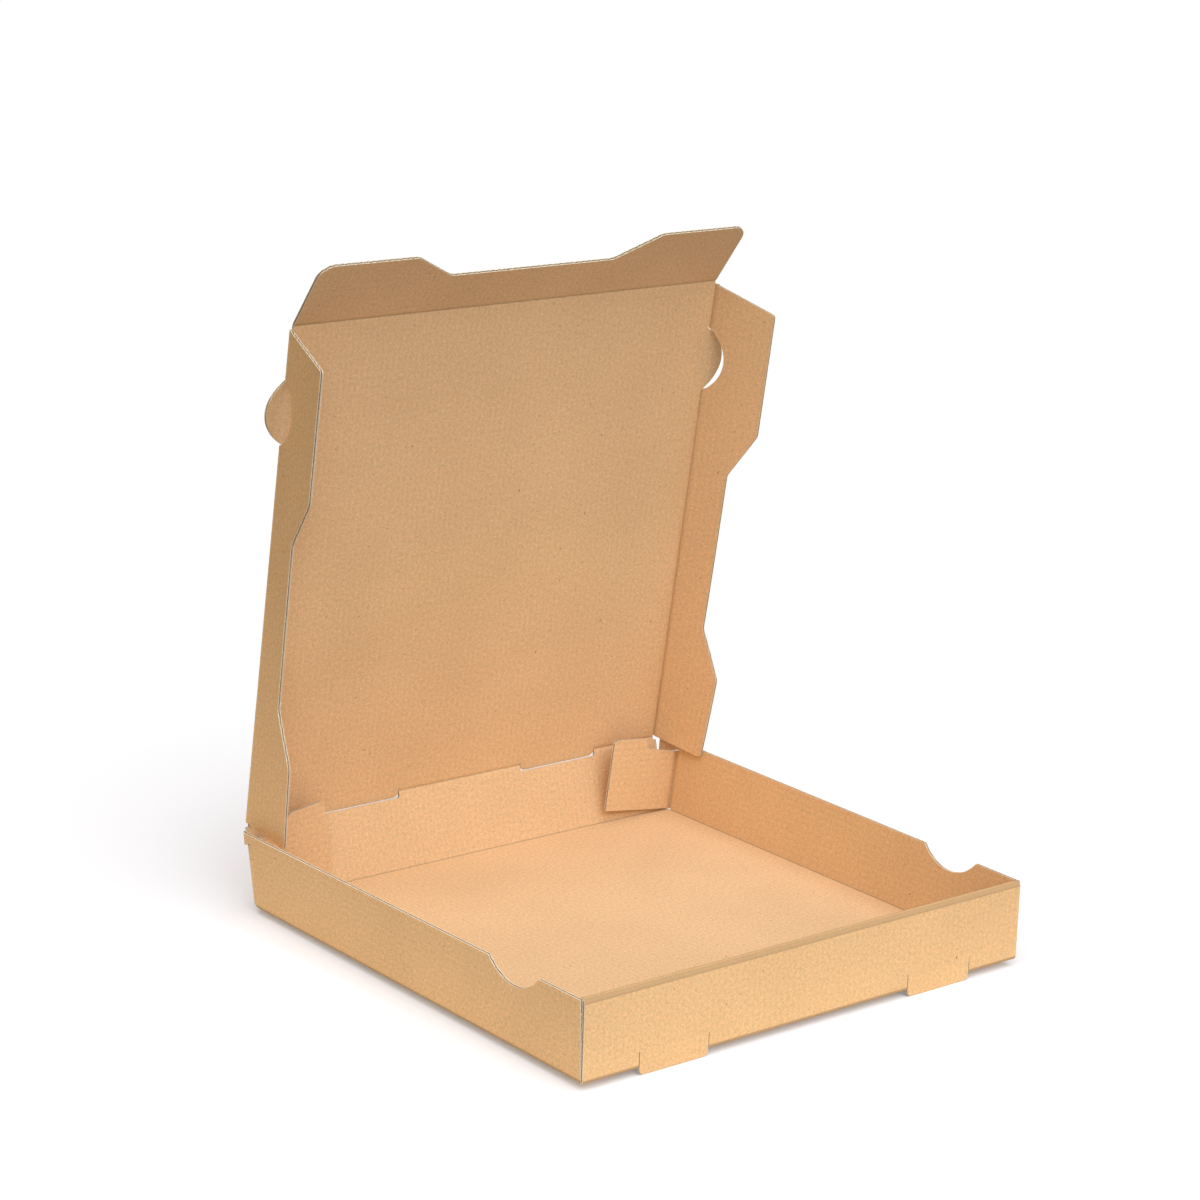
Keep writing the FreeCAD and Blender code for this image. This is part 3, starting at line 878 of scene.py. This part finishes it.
def side_crease(side):
    """Crease between the lid and a side flap, which is twisted between its two ends."""
    sizes = bpy.context.scene.flap_sizes
    front = sizes.right_front_fold if side > 0 else sizes.left_front_fold
    rear = sizes.right_rear_fold if side > 0 else sizes.left_rear_fold
    return Crease(HINGE + X_AXIS * (side * SIDE_CREASE), LID_UP, X_AXIS * side, LID_IN, front,
                  extra=rear - front, span=FRONT_CREASE)


def flap_end(d, gap, taper):
    """How far a side flap's end lies from the crease's end at depth d."""
    return gap + taper * d / bpy.context.scene.flap_sizes.side_depth


def side_flap(side):
    """Side flap of the lid, with the half-moon hole that its thumb tab leaves."""
    sizes = bpy.context.scene.flap_sizes
    lid = bpy.context.scene.lid_sizes
    root = bpy.context.scene.board_sizes.crease
    deep, waist, slope = sizes.side_depth, sizes.side_waist, sizes.waist_slope
    rear = flap_end(root, sizes.side_rear_gap, sizes.side_rear_taper)
    front = FRONT_CREASE - flap_end(root, sizes.side_front_gap, sizes.side_front_taper)
    rear_tip = sizes.side_rear_gap + sizes.side_rear_taper
    front_tip = FRONT_CREASE - sizes.side_front_gap - sizes.side_front_taper
    front_step = front_tip - sizes.side_front_part
    rear_step = rear_tip + sizes.side_rear_part
    chord, reach = thumb_circle(lid.thumb_hole_gap, root)
    apex = thumb_curve(reach)
    place = lid.thumb_tab_place
    tip = FLAP_CORNER
    corners = [(root, rear, 0), (deep, rear_tip, tip), (deep, rear_step, tip),
               (waist, rear_step + slope, tip), (waist, front_step - slope, tip),
               (deep, front_step, tip), (deep, front_tip, tip), (root, front, 0),
               (root, place + chord, 0), (root + apex, place, thumb_rounding(chord, apex)),
               (root, place - chord, 0)]
    board = fluted_board(corners, (), steps_between(rear, front, ROW_STEP))
    crease = side_crease(side)
    place_board(board, lambda x, y, height: crease.place(y, x, height))
    return board


def side_crease_boards(side):
    """Soft board between the lid and a side flap, on both sides of the thumb tab."""
    sizes = bpy.context.scene.flap_sizes
    lid = bpy.context.scene.lid_sizes
    reach = bpy.context.scene.board_sizes.crease
    near = thumb_circle(lid.thumb_hole_gap, -reach)[0]
    far = thumb_circle(lid.thumb_hole_gap, reach)[0]
    place = lid.thumb_tab_place
    rear = sizes.side_rear_gap
    front = FRONT_CREASE - sizes.side_front_gap
    spans = [((rear, rear), (place - near, place - far)), ((place + near, place + far), (front, front))]
    crease = side_crease(side)
    boards = []
    for low, high in spans:
        corners = [(-reach, low[0], 0), (reach, low[1], 0), (reach, high[1], 0), (-reach, high[0], 0)]
        board = fluted_board(corners, bend_steps(), steps_between(low[0], high[0], ROW_STEP))
        place_board(board, lambda x, y, height: crease.place(y, x, height),
                    lambda x, y: crease.score(y, x))
        boards.append(board)
    return boards


def front_crease():
    return Crease(HINGE + LID_UP * FRONT_CREASE, X_AXIS, LID_UP, LID_IN, FRONT_FOLD)


def front_flap():
    """Front flap of the lid: deep at both ends and shallow in the middle."""
    sizes = bpy.context.scene.flap_sizes
    root = bpy.context.scene.board_sizes.crease
    half = SIDE_CREASE - CREASE_END
    deep, waist = sizes.front_depth, sizes.front_waist
    shoulder = half - sizes.front_deep_end
    foot = shoulder - sizes.waist_slope
    right = [(half, root, 0), (half, deep, sizes.front_corner),
             (shoulder, deep, WAIST_CORNER), (foot, waist, WAIST_CORNER)]
    board = fluted_board(right + mirrored(right))
    crease = front_crease()
    place_board(board, crease.place)
    return board


def front_crease_board():
    half = SIDE_CREASE - CREASE_END
    return crease_across(front_crease(), -half, half)


def crease_across(crease, low, high):
    """Soft board at a crease that crosses the flutes."""
    reach = bpy.context.scene.board_sizes.crease
    corners = [(low, -reach, 0), (high, -reach, 0), (high, reach, 0), (low, reach, 0)]
    board = fluted_board(corners, (), bend_steps())
    place_board(board, crease.place, crease.score)
    return board


def hinge_crease():
    lean = rear_corner()[1]
    wall_up = Vector((0, math.sin(lean), math.cos(lean)))
    return Crease(HINGE, X_AXIS, wall_up, X_AXIS.cross(wall_up), wall_up.angle(LID_UP))


def hinge_crease_boards():
    """Soft board between the rear wall and the lid, beside and between the hinge tabs."""
    lid = bpy.context.scene.lid_sizes
    half = SIDE_CREASE - CREASE_END
    notch = lid.hinge_tab_width / 2 + lid.hinge_tab_gap
    left, right = hinge_tab_places()
    spans = [(-half, left - notch), (left + notch, right - notch), (right + notch, half)]
    return [crease_across(hinge_crease(), low, high) for low, high in spans]


# Corner flaps

def corner_crease(side):
    """Vertical crease at a side wall's rear end. Its axis lies on the board's inner face."""
    sizes = bpy.context.scene.flap_sizes
    name = "right_corner_flap_fold" if side > 0 else "left_corner_flap_fold"
    fold = sizes.right_corner_fold if side > 0 else sizes.left_corner_fold
    axis = Vector((side * math.sin(REAR_SIDE_LEAN), 0, math.cos(REAR_SIDE_LEAN)))
    inward = Vector((-side * math.cos(REAR_SIDE_LEAN), 0, math.sin(REAR_SIDE_LEAN)))
    known = joint_place(name)
    half = bpy.context.scene.board_sizes.thickness / 2
    foot = known - axis * ((known.z - half) / axis.z)
    return Crease(foot - axis * half, axis, Y_AXIS, inward, fold, sunk=half)


def corner_flap(side):
    """Flap on a side wall's rear end, lower beside the crease."""
    sizes = bpy.context.scene.flap_sizes
    root = bpy.context.scene.board_sizes.crease
    foot, top, end = sizes.corner_foot, sizes.corner_top, sizes.corner_length
    low = foot + sizes.corner_rise * root / end
    corners = [(low, root, 0), (sizes.corner_crease_top, root, 0),
               (sizes.corner_saddle_top, sizes.corner_saddle_run, SADDLE_CORNER),
               (top, sizes.corner_run, SADDLE_CORNER),
               (top, end - sizes.corner_nose, NOSE_CORNER), (top - sizes.corner_nose, end, NOSE_CORNER),
               (foot + sizes.corner_rise, end, 0)]
    board = fluted_board(corners)
    crease = corner_crease(side)
    place_board(board, crease.place)
    return board


def corner_crease_board(side):
    sizes = bpy.context.scene.flap_sizes
    reach = bpy.context.scene.board_sizes.crease
    low, high = sizes.corner_foot, sizes.corner_crease_top
    corners = [(low, -reach, 0), (high, -reach, 0), (high, reach, 0), (low, reach, 0)]
    board = fluted_board(corners, (), bend_steps())
    crease = corner_crease(side)
    place_board(board, crease.place, crease.score)
    return board


# Operators

class PIZZABOX_OT_tray(bpy.types.Operator):
    """Folds the tray: base, rolled front wall with its locks, side walls and rear wall"""
    bl_idname = "pizza_box.tray"
    bl_label = "Tray"

    def execute(self, context):
        boards = [base_and_end_walls()]
        boards += [lock_tongue(middle) for middle in lock_places()]
        for side in (-1, 1):
            boards += [side_wall(side), tucked_flap(side)]
        tray = finished("tray_board", boards)
        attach(tray, "tray")
        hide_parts("tray")
        return {"FINISHED"}


class PIZZABOX_OT_lid(bpy.types.Operator):
    """Makes the lid panel with its thumb tabs and hinge tabs"""
    bl_idname = "pizza_box.lid"
    bl_label = "Lid"

    def execute(self, context):
        lid = finished("lid_board", [lid_board()])
        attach(lid, "lid")
        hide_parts("lid_panel")
        return {"FINISHED"}


class PIZZABOX_OT_lid_flaps(bpy.types.Operator):
    """Makes the lid's front flap and its two side flaps"""
    bl_idname = "pizza_box.lid_flaps"
    bl_label = "Lid flaps"

    def execute(self, context):
        flaps = {"lid_front_flap": front_flap(),
                 "lid_left_flap": side_flap(-1),
                 "lid_right_flap": side_flap(1)}
        for node, board in flaps.items():
            flap = finished(node + "_board", [board])
            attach(flap, node)
            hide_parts(node)
        return {"FINISHED"}


class PIZZABOX_OT_corner_flaps(bpy.types.Operator):
    """Makes the flaps on the side walls' rear ends"""
    bl_idname = "pizza_box.corner_flaps"
    bl_label = "Corner flaps"

    def execute(self, context):
        for side, node in ((-1, "left_corner_flap"), (1, "right_corner_flap")):
            flap = finished(node + "_board", [corner_flap(side)])
            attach(flap, node)
            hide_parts(node)
        return {"FINISHED"}


class PIZZABOX_OT_creases(bpy.types.Operator):
    """Makes the soft board at each moving crease, bent to the crease's set fold"""
    bl_idname = "pizza_box.creases"
    bl_label = "Creases"

    def execute(self, context):
        reach = context.scene.board_sizes.crease
        left, right = -1, 1
        rows = [
            ("lid_hinge_crease", hinge_crease_boards(), hinge_crease(), "tray", "lid"),
            ("lid_front_crease", [front_crease_board()], front_crease(), "lid", "lid_front_flap"),
            ("lid_left_crease", side_crease_boards(left), side_crease(left), "lid", "lid_left_flap"),
            ("lid_right_crease", side_crease_boards(right), side_crease(right), "lid", "lid_right_flap"),
            ("left_corner_crease", [corner_crease_board(left)], corner_crease(left),
             "tray", "left_corner_flap"),
            ("right_corner_crease", [corner_crease_board(right)], corner_crease(right),
             "tray", "right_corner_flap"),
        ]
        for name, boards, crease, near, far in rows:
            piece = finished(name, boards)
            start = crease.place(0, -reach, 0)
            end = crease.place(0, reach, 0)
            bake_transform(piece)
        return {"FINISHED"}


class PIZZABOX_OT_stage(bpy.types.Operator):
    """Sets the pale floor, the soft lamps and the camera"""
    bl_idname = "pizza_box.stage"
    bl_label = "Stage"

    def execute(self, context):
        settings = context.scene.stage_settings
        lay_floor()
        add_camera(settings)
        add_lamp("key", Vector((-0.15, -0.47, 1.0)), 75, settings.key, (1.0, 1.07, 1.22))
        add_lamp("front", Vector((-0.05, -1.0, 0.08)), 90, settings.front, (1.0, 0.97, 0.92))
        add_lamp("side", Vector((-1.0, -0.15, 0.35)), 90, settings.side, (1.0, 0.78, 0.52))
        light_all_round(settings.ambient)
        context.scene.view_settings.view_transform = "Standard"
        return {"FINISHED"}


def lay_floor():
    """Pale floor just under the lock tongues. It lights the box from near by and is white further off."""
    desk = NodeDesk("floor")
    reach = bpy.context.scene.stage_settings.table_reach
    place = desk.node("ShaderNodeTexCoord").outputs["Object"]
    away = desk.node("ShaderNodeVectorMath", {0: place}, operation="LENGTH").outputs["Value"]
    limits = {"Value": away, "From Min": reach * 0.6, "From Max": reach * 1.5}
    far = desk.node("ShaderNodeMapRange", limits, interpolation_type="SMOOTHSTEP").outputs["Result"]
    tone = desk.mix(far, (0.80, 0.80, 0.80, 1), (0.04, 0.04, 0.04, 1))
    desk.link(tone, desk.shader.inputs["Base Color"])
    desk.shader.inputs["Roughness"].default_value = 0.9
    desk.shader.inputs["Specular IOR Level"].default_value = 0.0
    desk.shader.inputs["Emission Color"].default_value = (1, 1, 1, 1)
    path = desk.node("ShaderNodeLightPath").outputs
    seen = desk.math("MAXIMUM", path["Is Camera Ray"], path["Is Glossy Ray"])
    limits = {"Value": far, "To Min": 0.2, "To Max": 0.97}
    glow = desk.node("ShaderNodeMapRange", limits).outputs["Result"]
    desk.link(desk.math("MULTIPLY", seen, glow), desk.shader.inputs["Emission Strength"])
    bm = bmesh.new()
    bmesh.ops.create_grid(bm, x_segments=1, y_segments=1, size=30)
    mesh = bpy.data.meshes.new("floor")
    bm.to_mesh(mesh)
    bm.free()
    mesh.materials.append(desk.material)
    floor = bpy.data.objects.new("floor", mesh)
    floor.location.z = TRAY_LOW.z - FLOOR_GAP
    bpy.context.scene.collection.objects.link(floor)


def add_camera(settings):
    """Camera at the photograph's viewing angle, for a square image."""
    az, el = settings.azimuth, settings.elevation
    back = Vector((math.sin(az) * math.cos(el), -math.cos(az) * math.cos(el), math.sin(el)))
    right = (-back).cross(Z_AXIS).normalized()
    up = right.cross(-back)
    c, s = math.cos(settings.roll), math.sin(settings.roll)
    axes = Matrix((right * c + up * s, up * c - right * s, back)).transposed()
    camera = bpy.data.cameras.new("camera")
    camera.sensor_width = 36
    camera.lens = settings.lens
    camera.clip_start, camera.clip_end = 0.1, 100
    holder = bpy.data.objects.new("camera", camera)
    aim = Vector((settings.aim_x, settings.aim_y, 0))
    holder.matrix_world = Matrix.Translation(aim + back * settings.distance) @ axes.to_4x4()
    bpy.context.scene.collection.objects.link(holder)
    bpy.context.scene.camera = holder


def add_lamp(name, place, width, strength, tint):
    """Distant lamp that shines from place towards the box. Its width in degrees makes it soft."""
    lamp = bpy.data.lights.new(name, "SUN")
    lamp.angle = math.radians(width)
    lamp.energy = strength
    lamp.color = tint
    holder = bpy.data.objects.new(name, lamp)
    turn = (-place).to_track_quat("-Z", "Y").to_matrix().to_4x4()
    holder.matrix_world = Matrix.Translation(place) @ turn
    bpy.context.scene.collection.objects.link(holder)


def light_all_round(strength):
    """Even, slightly warm light, plain white to the camera."""
    world = bpy.data.worlds.new("studio")
    world.use_nodes = True
    tree = world.node_tree
    path = tree.nodes.new("ShaderNodeLightPath")
    warm = tree.nodes["Background"]
    warm.inputs["Color"].default_value = (1.0, 0.82, 0.63, 1)
    warm.inputs["Strength"].default_value = strength
    white = tree.nodes.new("ShaderNodeBackground")
    chosen = tree.nodes.new("ShaderNodeMixShader")
    tree.links.new(path.outputs["Is Camera Ray"], chosen.inputs["Fac"])
    tree.links.new(warm.outputs["Background"], chosen.inputs[1])
    tree.links.new(white.outputs["Background"], chosen.inputs[2])
    tree.links.new(chosen.outputs["Shader"], tree.nodes["World Output"].inputs["Surface"])
    white.inputs["Color"].default_value = (1, 1, 1, 1)
    bpy.context.scene.world = world


class PIZZABOX_PT_panel(bpy.types.Panel):
    """Lists the makers of the box's pieces"""
    bl_idname = "PIZZABOX_PT_panel"
    bl_label = "Pizza box"
    bl_space_type = "VIEW_3D"
    bl_region_type = "UI"
    bl_category = "Pizza box"

    def draw(self, context):
        for maker in MAKERS:
            self.layout.operator(maker.bl_idname)


MAKERS = (PIZZABOX_OT_tray, PIZZABOX_OT_lid, PIZZABOX_OT_lid_flaps, PIZZABOX_OT_corner_flaps,
          PIZZABOX_OT_creases, PIZZABOX_OT_stage)
SETTINGS = {"board_sizes": BoardSizes, "tray_sizes": TraySizes, "lid_sizes": LidSizes,
            "flap_sizes": FlapSizes, "paper_colours": PaperColours, "stage_settings": StageSettings}


def register():
    for group in SETTINGS.values():
        bpy.utils.register_class(group)
    for name, group in SETTINGS.items():
        setattr(bpy.types.Scene, name, PointerProperty(type=group))
    for maker in MAKERS + (PIZZABOX_PT_panel,):
        bpy.utils.register_class(maker)


def unregister():
    for maker in reversed(MAKERS + (PIZZABOX_PT_panel,)):
        bpy.utils.unregister_class(maker)
    for name in SETTINGS:
        delattr(bpy.types.Scene, name)
    for group in reversed(list(SETTINGS.values())):
        bpy.utils.unregister_class(group)


def main():
    """Makes every piece in order."""
    register()
    bpy.ops.pizza_box.tray()
    bpy.ops.pizza_box.lid()
    bpy.ops.pizza_box.lid_flaps()
    bpy.ops.pizza_box.corner_flaps()
    bpy.ops.pizza_box.creases()
    bpy.ops.pizza_box.stage()


if __name__ == "__main__":
    main()
